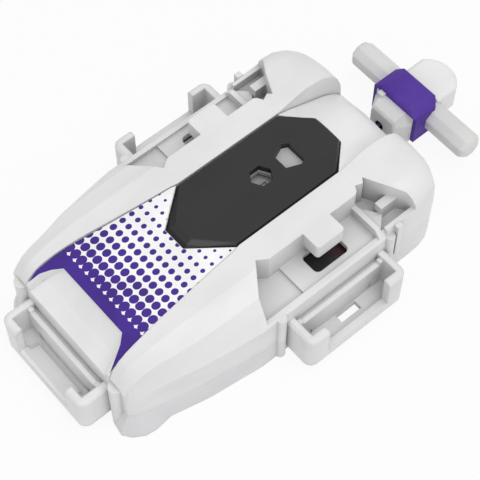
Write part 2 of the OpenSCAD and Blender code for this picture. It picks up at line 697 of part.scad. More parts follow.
// Gear chassis: plate, posts, bosses and a box under each pocket slot
rail_top_z = 14.6;
rail_t = 1.2;
module gear_chassis() {
    side_x = body_half_w - 3.6;
    plate = [[side_x - 7.2, reel_y - 19.45], [side_x - 1.2, reel_y - 8.25], [side_x, reel_y + 1.75],
             [side_x, launch_y + 21.15], [side_x - 2, launch_y + 23.95]];
    top = chassis_z + chassis_t;
    rail_y = tab_y - 0.2 - slot_len / 2 - 5.75;
    rail_len = slot_len + 10.5;
    rail_gap = slot_w + 0.4;
    color("#26262a") difference() {
        union() {
            translate([0, 0, chassis_z]) linear_extrude(chassis_t)
                polygon(mirrored(plate));
            at(cover_posts, top) cylinder(r = cover_post_r, h = cover_z - top);
            translate([0, reel_y, chassis_z - 3.2]) cylinder(r = 4, h = 3.2);
            translate([idler_x, idler_y, top]) cylinder(r = 3, h = gear_z - free_gap - top);
            both_sides() translate([side_x - rail_gap, rail_y, top]) cube([rail_gap, rail_len, rail_top_z - top]);
        }
        both_sides() translate([side_x - rail_gap + rail_t, rail_y + rail_t, 0])
            cube([rail_gap - 2 * rail_t, rail_len - 2 * rail_t, rail_top_z - rail_t]);
        at(case_screws, 0) cylinder(r = boss_r + free_gap, h = 20);
        translate([0, launch_y, 0]) cylinder(r = hub_r + run_gap, h = 20);
        translate([0, reel_y, chassis_z - 2]) cylinder(r = axle_r, h = 9);
        translate([idler_x, idler_y, idler_pin_z]) cylinder(r = idler_pin_r, h = 20);
        at(cover_posts, cover_z - 3.6) cylinder(r = small_r, h = 9);
        at(chassis_bosses, 0) cylinder(r = small_r, h = 20);
    }
}

module gear_cover() {
    // Half of the plate's outline
    plate = [[8, reel_y - 19.25], [13, reel_y - 15.25], [14.2, reel_y - 8.25], [14.4, reel_y + 9.75],
             [13, launch_y - 5.25], [13, launch_y + 10.75], [8, launch_y + 16.25]];
    color("silver") difference() {
        union() {
            translate([0, 0, cover_z]) linear_extrude(cover_t) {
                polygon(mirrored(plate));
                for (p = cover_posts) translate(p) circle(cover_post_r + 0.2);
                for (p = cover_posts) translate([p[0] / 2, p[1]]) square([abs(p[0]), 3], center = true);
            }
            translate([0, launch_y, cover_z]) cylinder(r = shaft_r + 1.6, h = cover_t + 0.5);
        }
        translate([0, launch_y, 0]) cylinder(r = shaft_r + run_gap, h = 30);
        translate([0, reel_y, 0]) cylinder(r = axle_r, h = 30);
        translate([idler_x, idler_y, 0]) cylinder(r = idler_pin_r, h = 30);
        at(cover_posts, 0) cylinder(r = small_r, h = 30);
        translate([-1.6, window_y[0] + 0.4, 0]) cube([3.2, 3.6, 30]);
    }
}

module exit_bush() {
    color("dimgray") translate([0, rear_y, exit_z]) rotate([90, 0, 0]) rotate_extrude()
        difference() {
            union() {
                translate([bush_bore_r, 0]) square([bush_r - bush_bore_r, wall + 0.9]);
                translate([bush_bore_r, wall]) square([bush_flange_r - bush_bore_r, 0.9]);
            }
            translate([bush_bore_r, 0]) rotate(45) square(0.5, center = true);
            translate([bush_bore_r, wall + 0.9]) rotate(45) square(0.5, center = true);
        }
}

// Launch head: disc, hub, hooks and the hollow spigot that a top sits on
chamber_top_z = disc_z + disc_t - 0.2;
plunger_flange_z = 2.3;
plunger_flange_t = 0.8;
button_r = 2.1;
under_rib = 0.6;
module launch_head() {
    reach = 1.6;
    color("#3a3a3e") translate([0, launch_y, 0]) difference() {
        union() {
            translate([0, 0, disc_z]) cylinder(r = disc_r, h = disc_t);
            translate([0, 0, spigot_z]) cylinder(r = spigot_r, h = disc_z - spigot_z);
            translate([0, 0, disc_z + disc_t]) cylinder(r = hub_r, h = hub_top_z - disc_z - disc_t);
            translate([0, 0, disc_z - under_rib]) rotate_extrude() translate([spigot_r + 3.8, 0])
                square([1.2, under_rib + 0.1]);
            for (k = [0:hook_count - 1]) rotate(90 + k * 360 / hook_count - hook_angle / 2) {
                translate([0, 0, hook_z]) rotate_extrude(angle = hook_angle)
                    translate([hook_in_r + 2, 0]) square([reach, disc_z - hook_z + 0.2]);
                translate([0, 0, hook_z]) rotate_extrude(angle = hook_angle)
                    translate([hook_in_r, 0]) square([2.4, 1.3]);
            }
            for (k = [0:5]) rotate(30 + k * 60) translate([spigot_r + 1.4, -0.5, disc_z - under_rib])
                cube([2.8, 1, under_rib + 0.1]);
        }
        translate([0, 0, -1]) cylinder(r = button_r + run_gap, h = 9);
        translate([0, 0, plunger_flange_z - free_gap]) cylinder(r = plunger_r + run_gap, h = chamber_top_z - plunger_flange_z + free_gap);
        translate([0, 0, chamber_top_z]) cylinder(r = shaft_r, h = 9);
    }
}

module release_plunger() {
    color("#5a5a60") translate([0, launch_y, 0]) difference() {
        union() {
            translate([0, 0, plunger_low_z]) cylinder(r = button_r, h = plunger_flange_z - plunger_low_z + 0.2);
            translate([0, 0, plunger_flange_z]) cylinder(r = plunger_r, h = plunger_flange_t);
            translate([0, 0, plunger_flange_z]) cylinder(r = 1.1, h = 1.6);
        }
        translate([0, 0, plunger_low_z - 0.1]) cylinder(r = 0.9, h = 0.7);
    }
}

// Compression spring as one tube along a helix
plunger_spring_turns = 3;
plunger_wire_r = 0.2;
module plunger_spring() {
    low = plunger_flange_z + plunger_flange_t + plunger_wire_r;
    high = chamber_top_z - plunger_wire_r;
    r = plunger_r - 0.75;
    steps = plunger_spring_turns * 20;
    sides = 6;
    rings = [for (i = [0:steps]) let (a = i * 360 * plunger_spring_turns / steps, z = low + (high - low) * i / steps)
        [for (j = [0:sides - 1]) let (b = j * 360 / sides, q = r + plunger_wire_r * cos(b))
            [q * cos(a), q * sin(a), z + plunger_wire_r * sin(b)]]];
    skin = [for (i = [0:steps - 1]) for (j = [0:sides - 1]) let (a = i * sides + j, b = i * sides + (j + 1) % sides)
        [a, b, b + sides, a + sides]];
    color("silver") translate([0, launch_y, 0]) polyhedron(points = [for (ring = rings) each ring],
        faces = concat([[for (j = [sides - 1:-1:0]) j]], skin, [[for (j = [0:sides - 1]) steps * sides + j]]));
}

module launch_shaft() {
    color("gray") translate([0, launch_y, chamber_top_z]) difference() {
        union() {
            cylinder(r = shaft_r, h = shaft_top_z - chamber_top_z - 0.4);
            cylinder(r = shaft_r - 0.4, h = shaft_top_z - chamber_top_z);
        }
        translate([0, 0, shaft_top_z - chamber_top_z]) cube([0.8, 3.2, 1.6], center = true);
    }
}

// Ring above the chassis that keeps the launch head from dropping
clip_r = 5.3;
module shaft_clip() {
    color("silver") translate([0, launch_y, hub_top_z]) difference() {
        cylinder(r = clip_r, h = 0.9);
        translate([0, 0, -1]) cylinder(r = shaft_r, h = 4);
        rotate(210) translate([0, -0.9, -1]) cube([9, 1.8, 4]);
        for (a = [0, 60]) rotate(a) translate([clip_r - 1.5, 0, -1]) cylinder(r = 0.7, h = 4);
    }
}

module launch_pinion() {
    color("ivory") translate([0, launch_y, 0]) difference() {
        union() {
            translate([0, 0, gear_z]) linear_extrude(gear_w) rotate(pinion_phase) gear_outline(pinion_teeth);
            translate([0, 0, gear_z - 2.2]) cylinder(r = shaft_r + 1.2, h = 2.4);
        }
        cylinder(r = shaft_r, h = 40);
    }
}

module idler_gear() {
    color("ivory") translate([idler_x, idler_y, 0]) difference() {
        translate([0, 0, gear_z]) linear_extrude(gear_w) rotate(idler_phase) gear_outline(idler_teeth);
        cylinder(r = idler_pin_r + run_gap, h = 40);
    }
}

module idler_pin() {
    color("silver") translate([idler_x, idler_y, idler_pin_z])
        cylinder(r = idler_pin_r, h = cover_z + cover_t - idler_pin_z);
}

// Reel: two flanges, a drum open below for the recoil spring, and a hexagonal boss for its gear
gear_boss_r = 5;
chamber_r = drum_r - drum_wall;
chamber_h = reel_h - 1.4;
module string_reel() {
    color("#d9d9dc") translate([0, reel_y, reel_z]) difference() {
        union() {
            cylinder(r = flange_r, h = flange_t);
            cylinder(r = drum_r, h = reel_h);
            translate([0, 0, reel_h - flange_t]) cylinder(r = flange_r, h = flange_t);
            cylinder(r = gear_boss_r, h = reel_h + gear_w, $fn = 6);
        }
        translate([0, 0, -1]) cylinder(r = chamber_r, h = chamber_h + 1);
        cylinder(r = axle_r + run_gap, h = 20);
        translate([chamber_r - 0.3, -0.8, -1]) cube([1, 1.6, chamber_h + 1]);
        for (k = [0:4]) rotate(k * 72 + 36) translate([(flange_r + drum_r) / 2 + 0.9, 0, -1]) cylinder(r = 1.4, h = flange_t + 2);
    }
}

module reel_gear() {
    holes = 6;
    color("ivory") translate([0, reel_y, gear_z]) difference() {
        linear_extrude(gear_w) rotate(to_idler) gear_outline(reel_teeth);
        translate([0, 0, -1]) cylinder(r = gear_boss_r, h = 9, $fn = 6);
        for (k = [0:holes - 1]) rotate(k * 360 / holes + 15) translate([8.9, 0, -1]) cylinder(r = 2.3, h = 9);
    }
}

module string_winding() {
    thick = string_layers * string_d;
    color("#4b3a6e") translate([0, reel_y, winding_z]) rotate_extrude() {
        translate([drum_r, 0]) square([thick - string_d / 2, winding_h]);
        for (k = [0:string_rows - 1]) translate([drum_r + thick - string_d / 2, (k + 0.5) * string_d])
            circle(string_d / 2, $fn = 24);
    }
}

module reel_axle() {
    color("silver") translate([0, reel_y, chassis_z - 2]) cylinder(r = axle_r, h = cover_z + cover_t + 0.6 - chassis_z + 2);
}

// Flat spiral spring from half rings whose two centres lie one step apart
spring_inner_r = axle_r + 0.5;
spring_step = (chamber_r - free_gap - spring_t - spring_inner_r) / (2 * spring_turns);
module recoil_spring() {
    high = chamber_h - 0.7;
    color("slategray") translate([0, reel_y, reel_z + free_gap]) {
        for (k = [0:2 * spring_turns - 2]) translate([k % 2 == 0 ? 0 : -spring_step, 0, 0]) rotate(k * 180)
            rotate_extrude(angle = 180) translate([spring_inner_r + k * spring_step, 0]) square([spring_t, high]);
        difference() {
            cylinder(r = axle_r + 0.35, h = high);
            translate([0, 0, -1]) cylinder(r = axle_r, h = high + 2);
        }
        translate([axle_r + 0.1, -0.6, 0]) cube([spring_inner_r + spring_t - axle_r - 0.1, 0.8, high]);
    }
}

// Straight round cord between two points
module cord(from, to, r) {
    d = to - from;
    translate(from) rotate([0, acos(d[2] / norm(d)), atan2(d[1], d[0])]) cylinder(r = r, h = norm(d), $fn = 24);
}

module string_inner() {
    start = [drum_r + string_layers * string_d + free_gap + string_d / 2 + 0.1, reel_y, string_z];
    color("#4b3a6e") cord(start, [0, rear_y, exit_z], string_d / 2);
}

module string_run() {
    color("#4b3a6e") cord([0, rear_y, exit_z], [0, nose_block_y, exit_z], string_d / 2);
}

knot_y = nose_block_y + 4.6;
module string_knot() {
    color("#4b3a6e") {
        cord([0, nose_block_y, exit_z], [0, knot_y, exit_z], string_d / 2);
        translate([0, knot_y, exit_z]) sphere(r = 1.5, $fn = 24);
    }
}

// Eight-sided bar along X, as wide across its flats as bar_r says
bar_point_r = bar_r / cos(22.5);
module bar_hole() {
    translate([-bar_len, bar_y, bar_z]) rotate([0, 90, 0]) rotate(22.5) cylinder(r = bar_point_r, h = 2 * bar_len, $fn = 8);
}

module handle_bar() {
    half = bar_len / 2;
    end = [[half - 1.6, 0], [half - 0.9, 0.35], [half - 0.3, 1], [half, 2]];
    steps = concat([for (i = [3:-1:0]) [-end[i][0], end[i][1]]], end);
    color("whitesmoke") translate([0, bar_y, bar_z]) rotate(-90)
        loft([for (s = steps) [s[0], [for (k = [0:7]) (bar_point_r - s[1]) * [cos(k * 45 + 22.5), sin(k * 45 + 22.5)]]]]);
}

// Nose block: narrow at its front face, as wide as the saddle's inside behind
saddle_half_w = 7.7;
saddle_inner_w = 6.6;
saddle_wall_z = saddle_z - 2;
saddle_front_y = 46.75;
saddle_rear_y = 55.9;
block_low_z = 5.1;
nose_shift = 0.7;
key_len = 1.4;
handle_screws_at = [[4.5, 48.3], [-4.5, 48.3]];
module handle_nose() {
    function section(y, w, shoulder, crown, top, side = 0) = [y, [[side - w, block_low_z], [side + w, block_low_z],
        [side + w, shoulder], [side + crown, top], [side - crown, top], [side - w, shoulder]]];
    color("#e4e4e4") difference() {
        union() {
            loft([section(nose_block_y, 4, 12.7, 3.5, 14.2, nose_shift),
                  section(nose_block_y + 0.6, 4.4, 12.8, 3.7, saddle_wall_z, nose_shift),
                  section(saddle_front_y - 0.3, saddle_inner_w, 11.8, 4.2, saddle_wall_z),
                  section(saddle_front_y, saddle_inner_w, 11.8, 4.2, saddle_wall_z)]);
            translate([-4.9, saddle_front_y - 0.4 - key_len, saddle_wall_z - 2]) cube([1.8, key_len, 2.8]);
            translate([0, 0, block_low_z]) linear_extrude(saddle_wall_z - block_low_z) intersection() {
                saddle_plan(saddle_inner_w, saddle_rear_y - 1);
                translate([-20, saddle_front_y]) square([40, bar_y - saddle_front_y]);
            }
        }
        bar_hole();
        translate([0, nose_block_y - 1, exit_z]) rotate([-90, 0, 0]) cylinder(r = string_hole_r, h = 4);
        translate([0, nose_block_y + 2.8, exit_z]) rotate([-90, 0, 0]) cylinder(r = 1.9, h = 4);
        translate([-1.9, nose_block_y + 2.8, 0]) cube([3.8, 4, exit_z]);
        at(handle_screws_at, 0) cylinder(r = 1.9, h = block_low_z + 1.6);
        at(handle_screws_at, 0) cylinder(r = small_r, h = 20);
    }
}

module saddle_plan(w, rear) {
    polygon([[-w, 40], [w, 40], [w, rear - 2.3], [w - 2.7, rear], [2.7 - w, rear], [-w, rear - 2.3]]);
}

module handle_saddle() {
    color("#5a409a") difference() {
        intersection() {
            linear_extrude(40) saddle_plan(saddle_half_w, saddle_rear_y);
            translate([-saddle_half_w, 0, 0]) rotate([90, 0, 90]) linear_extrude(2 * saddle_half_w)
                polygon([[saddle_front_y, block_low_z + 0.3], [saddle_rear_y, block_low_z + 0.3],
                         [saddle_rear_y, saddle_wall_z - 0.2], [saddle_rear_y - 0.6, saddle_z - 0.9],
                         [saddle_rear_y - 1.7, saddle_z], [saddle_front_y + 0.5, saddle_z],
                         [saddle_front_y - 0.4, saddle_z - 0.6], [saddle_front_y - 0.4, saddle_wall_z],
                         [saddle_front_y, saddle_wall_z]]);
            translate([0, 80, 0]) rotate([90, 0, 0]) linear_extrude(80)
                polygon([[-saddle_half_w, 0], [saddle_half_w, 0], [saddle_half_w, saddle_wall_z - 0.4],
                         [saddle_half_w - 0.4, saddle_wall_z + 0.3], [4, saddle_z], [-4, saddle_z],
                         [0.4 - saddle_half_w, saddle_wall_z + 0.3], [-saddle_half_w, saddle_wall_z - 0.4]]);
        }
        linear_extrude(saddle_wall_z) saddle_plan(saddle_inner_w, saddle_rear_y - 1);
        translate([-knob_neck_w, 0, 0]) cube([2 * knob_neck_w, 80, knob_top_z]);
        bar_hole();
        at(handle_screws_at, 0) cylinder(r = small_r, h = saddle_wall_z + 1.3);
    }
}

knob_neck_w = 3.8;
knob_top_z = 14.1;
knob_low_z = 5.1;
module handle_knob() {
    arc_r = 7.35;
    module outline_2d(inset) {
        intersection() {
            translate([0, knob_y - arc_r]) circle(arc_r - inset);
            translate([-knob_half_w + inset, saddle_rear_y]) square([2 * (knob_half_w - inset), 20]);
        }
    }
    color("whitesmoke") difference() {
        union() {
            translate([0, 0, knob_low_z + 1]) linear_extrude(knob_top_z - knob_low_z - 2) outline_2d(0);
            hull() {
                translate([0, 0, knob_top_z - 1]) linear_extrude(0.1) outline_2d(0);
                translate([0, 0, knob_top_z - 0.1]) linear_extrude(0.1) outline_2d(0.9);
            }
            hull() {
                translate([0, 0, knob_low_z + 0.9]) linear_extrude(0.1) outline_2d(0);
                translate([0, 0, knob_low_z]) linear_extrude(0.1) outline_2d(0.9);
            }
            translate([-knob_neck_w, bar_y, block_low_z]) cube([2 * knob_neck_w, saddle_rear_y - bar_y + 1, knob_top_z - block_low_z]);
            translate([0, 0, block_low_z]) linear_extrude(saddle_wall_z - block_low_z) intersection() {
                saddle_plan(saddle_inner_w, saddle_rear_y - 1);
                translate([-20, bar_y]) square(40);
            }
        }
        bar_hole();
    }
}

module handle_screws() {
    color("silver") at(handle_screws_at, block_low_z + 1.6) rotate([180, 0, 0]) pan_screw(small_r, 8.6, 1.75, 1.2);
}

lower_shell();
upper_shell();
spine_cover();
top_panel();
printed_label();
grip_socket_right();
grip_socket_left();
grip_socket_front();
socket_screws();
gear_chassis();
gear_cover();
cover_screws();
case_screws();
chassis_screws();
exit_bush();
launch_head();
launch_shaft();
launch_pinion();
shaft_clip();
release_plunger();
plunger_spring();
string_reel();
reel_gear();
string_winding();
reel_axle();
recoil_spring();
idler_gear();
idler_pin();
string_inner();
string_run();
string_knot();
handle_bar();
handle_nose();
handle_saddle();
handle_knob();
handle_screws();
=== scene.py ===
import json
import math

import bmesh
import bpy
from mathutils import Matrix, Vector


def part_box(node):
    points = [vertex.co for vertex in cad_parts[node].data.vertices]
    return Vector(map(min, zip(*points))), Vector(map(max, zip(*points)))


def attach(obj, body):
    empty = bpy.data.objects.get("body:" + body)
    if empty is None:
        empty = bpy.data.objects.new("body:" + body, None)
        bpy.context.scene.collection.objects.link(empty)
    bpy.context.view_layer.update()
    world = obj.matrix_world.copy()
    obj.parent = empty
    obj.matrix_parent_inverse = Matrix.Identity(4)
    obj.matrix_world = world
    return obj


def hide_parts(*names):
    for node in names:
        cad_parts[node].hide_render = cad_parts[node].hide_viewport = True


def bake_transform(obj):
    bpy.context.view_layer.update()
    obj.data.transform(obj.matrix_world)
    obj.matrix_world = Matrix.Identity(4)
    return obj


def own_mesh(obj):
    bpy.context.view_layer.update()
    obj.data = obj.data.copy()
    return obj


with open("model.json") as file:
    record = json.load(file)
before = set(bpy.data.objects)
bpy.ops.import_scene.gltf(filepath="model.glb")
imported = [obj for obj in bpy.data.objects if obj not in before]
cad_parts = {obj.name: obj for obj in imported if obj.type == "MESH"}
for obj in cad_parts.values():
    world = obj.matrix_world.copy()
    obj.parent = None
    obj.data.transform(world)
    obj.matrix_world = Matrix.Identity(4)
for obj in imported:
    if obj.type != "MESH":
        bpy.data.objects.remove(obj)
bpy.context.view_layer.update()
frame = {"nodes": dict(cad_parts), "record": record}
nodes = frame["nodes"]
scene = bpy.context.scene
mm = 0.001
print("frame loaded with", len(nodes), "nodes")

# Camera at the photograph's angle, in metres, degrees and millimetres of lens
cameraPlace = {
    "target": (0.01037, -0.01425, 0.0255),
    "azimuth": 49.5,
    "elevation": 58.9,
    "distance": 0.340,
    "lens": 109.73,
    "sensor": 36,
    "clip": (0.01, 20),
}


def addCamera(place):
    turn, tilt = math.radians(place["azimuth"]), math.radians(place["elevation"])
    back = Vector((math.sin(turn) * math.cos(tilt), -math.cos(turn) * math.cos(tilt), math.sin(tilt)))
    data = bpy.data.cameras.new("photoCamera")
    data.lens = place["lens"]
    data.sensor_width = place["sensor"]
    data.clip_start, data.clip_end = place["clip"]
    camera = bpy.data.objects.new("photoCamera", data)
    camera.location = Vector(place["target"]) + place["distance"] * back
    camera.rotation_mode = "QUATERNION"
    camera.rotation_quaternion = (-back).to_track_quat("-Z", "Y")
    scene.collection.objects.link(camera)
    scene.camera = camera


addCamera(cameraPlace)
scene.view_settings.view_transform = "Standard"
print("camera placed")


# Shader maths: a Link is one output socket, and sums on it add Math nodes
class Link:
    def __init__(self, shader, socket):
        self.shader = shader
        self.socket = socket

    def sum(self, kind, first, second=0.0):
        return self.shader.node("ShaderNodeMath", {"operation": kind}, {0: first, 1: second})

    def __add__(self, other):
        return self.sum("ADD", self, other)

    def __radd__(self, other):
        return self.sum("ADD", other, self)

    def __sub__(self, other):
        return self.sum("SUBTRACT", self, other)

    def __rsub__(self, other):
        return self.sum("SUBTRACT", other, self)

    def __mul__(self, other):
        return self.sum("MULTIPLY", self, other)

    def __rmul__(self, other):
        return self.sum("MULTIPLY", other, self)

    def __truediv__(self, other):
        return self.sum("DIVIDE", self, other)

    def __pow__(self, other):
        return self.sum("POWER", self, other)

    def __gt__(self, other):
        return self.sum("GREATER_THAN", self, other)

    def most(self, other):
        return self.sum("MAXIMUM", self, other)

    def rounded(self):
        return self.sum("ROUND", self)

    def within(self):
        return self.shader.node("ShaderNodeMath", {"operation": "ADD", "use_clamp": True}, {0: self, 1: 0.0})


class Shader:
    def __init__(self, name, tree=None):
        if tree is None:
            self.material = bpy.data.materials.new(name)
            self.material.use_nodes = True
            tree = self.material.node_tree
            self.surface = tree.nodes["Principled BSDF"]
        self.tree = tree

    def node(self, kind, settings=None, inputs=None, output=0):
        made = self.tree.nodes.new(kind)
        for key, value in (settings or {}).items():
            if key == "stops":
                ramp = made.color_ramp
                while len(ramp.elements) < len(value):
                    ramp.elements.new(0.5)
                for element, (place, tone) in zip(ramp.elements, value):
                    element.position = place
                    element.color = tone
            else:
                setattr(made, key, value)
        for key, value in (inputs or {}).items():
            self.feed(made.inputs[key], value)
        return Link(self, made.outputs[output])

    def feed(self, socket, value):
        if isinstance(value, Link):
            self.tree.links.new(value.socket, socket)
        else:
            socket.default_value = value

    # Where the shaded point lies, in millimetres
    def place(self):
        here = self.node("ShaderNodeTexCoord", output="Object")
        return self.node("ShaderNodeVectorMath", {"operation": "SCALE"}, {0: here, "Scale": 1 / mm})

    def stretched(self, vector, amounts):
        return self.node("ShaderNodeVectorMath", {"operation": "MULTIPLY"}, {0: vector, 1: amounts})

    def parts(self, vector):
        split = self.node("ShaderNodeSeparateXYZ", inputs={0: vector})
        outputs = split.socket.node.outputs
        return [Link(self, outputs[i]) for i in range(3)]

    def noise(self, vector, scale, detail=2.0, rough=0.5):
        return self.node("ShaderNodeTexNoise", inputs={"Vector": vector, "Scale": scale, "Detail": detail,
                                                       "Roughness": rough})

    # 0 up to low, 1 from high on, and a soft step between them
    def span(self, value, low, high):
        return self.node("ShaderNodeMapRange", {"interpolation_type": "SMOOTHSTEP"}, {
            "Value": value, "From Min": low, "From Max": high, "To Min": 0.0, "To Max": 1.0})

    def colours(self, mask, first, second):
        return self.node("ShaderNodeMix", {"data_type": "RGBA"}, {0: mask, 6: first, 7: second}, output=2)

    def softNormal(self, radius, samples=8):
        return self.node("ShaderNodeBevel", {"samples": samples}, {"Radius": radius * mm})

    # 1 along the sharp edges and 0 on the flats, from a rounded normal
    def edges(self, soft, gain=4.0):
        flat = self.node("ShaderNodeNewGeometry", output="Normal")
        turned = self.node("ShaderNodeVectorMath", {"operation": "DOT_PRODUCT"}, {0: soft, 1: flat},
                           output="Value")
        return ((1 - turned) * gain).within()

    # 1 deep in a hollow and 0 in the open; alone leaves the neighbouring pieces out
    def hollows(self, distance, samples=6, alone=False):
        clear = self.node("ShaderNodeAmbientOcclusion", {"samples": samples, "only_local": alone},
                          {"Distance": distance * mm}, output="AO")
        return (1 - clear).within()

    def bump(self, height, strength, distance, normal=None):
        inputs = {"Strength": strength, "Distance": distance * mm, "Height": height}
        if normal is not None:
            inputs["Normal"] = normal
        return self.node("ShaderNodeBump", inputs=inputs)

    def set(self, **values):
        for key, value in values.items():
            self.feed(self.surface.inputs[key.replace("_", " ")], value)


# A screen colour such as e6e6e6 as the linear numbers that a shader takes
def colour(code):
    parts = [int(code[i:i + 2], 16) / 255 for i in (0, 2, 4)]
    return tuple(p / 12.92 if p <= 0.04045 else ((p + 0.055) / 1.055) ** 2.4 for p in parts) + (1.0,)


# Moulded plastic: spark-eroded grain, flow marks, worn edges with a painted highlight, and painted shade in
# the hollows and deep pockets
plastics = {
    "shellWhite": {
        "colour": "e7e7e7", "flowColour": "e1e1e2", "edgeColour": "f2f2f2", "hollowShadeColour": "a8a7a6",
        "rough": 0.42, "edgeRadius": 0.35, "grain": 3.2, "grainDepth": 0.012, "flow": 0.05, "depth": 0.9,
    },
    "lowerWhite": {
        "colour": "e3e3e4", "flowColour": "dcdcde", "edgeColour": "efefef", "hollowShadeColour": "a8a7a6",
        "rough": 0.45, "edgeRadius": 0.35, "grain": 3.0, "grainDepth": 0.014, "flow": 0.045, "depth": 0.9,
    },
    "socketWhite": {
        "colour": "e4e4e4", "flowColour": "dedede", "edgeColour": "f0f0f0", "hollowShadeColour": "a8a7a6",
        "rough": 0.44, "edgeRadius": 0.9, "grain": 3.0, "grainDepth": 0.014, "flow": 0.06, "depth": 0.5,
    },
    "spineWhite": {
        "colour": "ebebeb", "flowColour": "e5e5e6", "edgeColour": "f4f4f4", "hollowShadeColour": "a8a7a6",
        "rough": 0.33, "edgeRadius": 0.3, "grain": 3.6, "grainDepth": 0.006, "flow": 0.04,
        "patches": [
            {"colour": "bcbcbc", "low": (-5, 6, 22), "high": (5, 13.5, 24), "soft": 0.1},
        ],
    },
    "frontWhite": {
        "colour": "e9e9e9", "flowColour": "e4e4e4", "edgeColour": "f3f3f3", "hollowShadeColour": "b4b3b2",
        "rough": 0.44, "edgeRadius": 0.9, "grain": 3.0, "grainDepth": 0.014, "flow": 0.06, "depth": 0.1,
        "patches": [
            {"colour": "d5d5d5", "low": (-13, -65.3, 4.7), "high": (13, -57, 5.5), "soft": 0.1},
        ],
    },
    "handleWhite": {
        "colour": "dadad9", "flowColour": "d4d4d3", "edgeColour": "f0f0ef", "hollowShadeColour": "a8a7a6",
        "rough": 0.38, "edgeRadius": 1.0, "grain": 3.2, "grainDepth": 0.01, "flow": 0.06,
    },
    "knobWhite": {
        "colour": "ebebeb", "flowColour": "e6e6e6", "edgeColour": "f4f4f4", "hollowShadeColour": "a8a7a6",
        "rough": 0.38, "edgeRadius": 1.0, "grain": 3.2, "grainDepth": 0.01, "flow": 0.06,
    },
    "noseWhite": {
        "colour": "d5d5d4", "flowColour": "cfcfce", "edgeColour": "ebebea", "hollowShadeColour": "c2c0bb",
        "rough": 0.42, "edgeRadius": 0.55, "grain": 3.2, "grainDepth": 0.012, "flow": 0.06,
        # Painted shade in the cord's hole, dark purple
        "paintedBoreShade": {"colour": "1b0c2b", "z": 9.5, "radius": 1.42},
    },
    "saddlePurple": {
        "colour": "593f9d", "flowColour": "533894", "edgeColour": "674eaa", "hollowShadeColour": "452f7c",
        "rough": 0.5, "shine": 0.08, "edgeRadius": 0.35, "grain": 3.4, "grainDepth": 0.012, "flow": 0.07,
    },
    "panelDark": {
        "colour": "2a2a2a", "flowColour": "262626", "edgeColour": "464646", "hollowShadeColour": "262626",
        "rough": 0.4, "shine": 0.3, "edgeRadius": 0.25, "grain": 4.0, "grainDepth": 0.016, "flow": 0.05,
        # Painted shadow, almost black low down where the panel meets its seat
        "paintedFootShadow": {"colour": "131313", "fromZ": 24.72, "toZ": 24.92},
        "patches": [
            # Painted shade on the left bevel, turned away from the light
            {"colour": "171717", "low": (-12, -26, 24.9), "high": (-2.9, -15.5, 25.4), "soft": 0.06},
            # Painted light on the right bevel, turned towards the light
            {"colour": "3a3a3a", "low": (2.9, -26, 24.9), "high": (12, -15.5, 25.4), "soft": 0.06},
        ],
    },
    "chassisDark": {
        "colour": "242427", "flowColour": "1d1d20", "edgeColour": "36363a", "hollowShadeColour": "1a1819",
        "rough": 0.5, "edgeRadius": 0.2, "grain": 2.6, "grainDepth": 0.02, "flow": 0.08,
        "patches": [
            {"colour": "34161a", "low": (15, 4, 0), "high": (40, 40, 30), "soft": 1.4},
            {"colour": "d4d4d3", "low": (-40, -8, 0), "high": (-15, 40, 30), "soft": 1.0},
        ],
    },
    "headDark": {
        "colour": "3a3a3e", "flowColour": "323236", "edgeColour": "5a5a60", "hollowShadeColour": "262628",
        "rough": 0.4, "edgeRadius": 0.25, "grain": 2.8, "grainDepth": 0.014, "flow": 0.08,
    },
    "bushGrey": {
        "colour": "5f5f63", "flowColour": "56565a", "edgeColour": "7b7b80", "hollowShadeColour": "464648",
        "rough": 0.38, "edgeRadius": 0.15, "grain": 3.0, "grainDepth": 0.01, "flow": 0.1,
    },
    "coverGrey": {
        "colour": "c3c4c6", "flowColour": "b9babd", "edgeColour": "d6d7d8", "hollowShadeColour": "a3a3a1",
        "rough": 0.45, "edgeRadius": 0.2, "grain": 3.0, "grainDepth": 0.014, "flow": 0.08,
    },
    "reelGrey": {
        "colour": "d3d3d6", "flowColour": "cacacd", "edgeColour": "e2e2e4", "hollowShadeColour": "b4b3b1",
        "rough": 0.36, "edgeRadius": 0.2, "grain": 3.0, "grainDepth": 0.01, "flow": 0.08,
    },
    "bareGrey": {
        "colour": "b4b4b6", "flowColour": "a9a9ac", "edgeColour": "d2d2d4", "hollowShadeColour": "8b8b8d",
        "rough": 0.4, "edgeRadius": 0.15, "grain": 3.0, "grainDepth": 0.01, "flow": 0.08,
    },
    "paintedScrew": {
        "colour": "d2d2d2", "flowColour": "c8c8c9", "edgeColour": "e6e6e6", "hollowShadeColour": "a9a8a6",
        "rough": 0.4, "edgeRadius": 0.12, "grain": 3.4, "grainDepth": 0.006, "flow": 0.1,
    },
    "gearNylon": {
        "colour": "e9e3d0", "flowColour": "e0d8c0", "edgeColour": "f3efe2", "hollowShadeColour": "b9b09a",
        "rough": 0.34, "edgeRadius": 0.12, "grain": 3.4, "grainDepth": 0.008, "flow": 0.1,
    },
}

# What all the mouldings share: reaches in millimetres, and each noise's detail with its roughness
mould = {
    "grainDetail": (3.0, 0.6), "flowDetail": (2.0, 0.55), "scuffDetail": (4.0, 0.7),
    "flowStretch": (1.0, 0.45, 1.0), "flowScale": 2.2, "flowFrom": 0.35, "flowTo": 0.68,
    "scuffStretch": (0.35, 2.6, 0.8), "scuffScale": 1.4, "scuffFrom": 0.66, "scuffTo": 0.74,
    "hollowShadeReach": 1.6, "hollowShade": 0.45, "depthReach": 9, "edge": 0.6,
    "roughFlow": 0.07, "roughGrain": 0.1, "roughScuff": 0.1, "roughEdge": 0.06,
    "bumpFlow": 0.6, "bumpScuff": 0.15, "bump": 0.35, "shine": 0.4, "ior": 1.49,
}


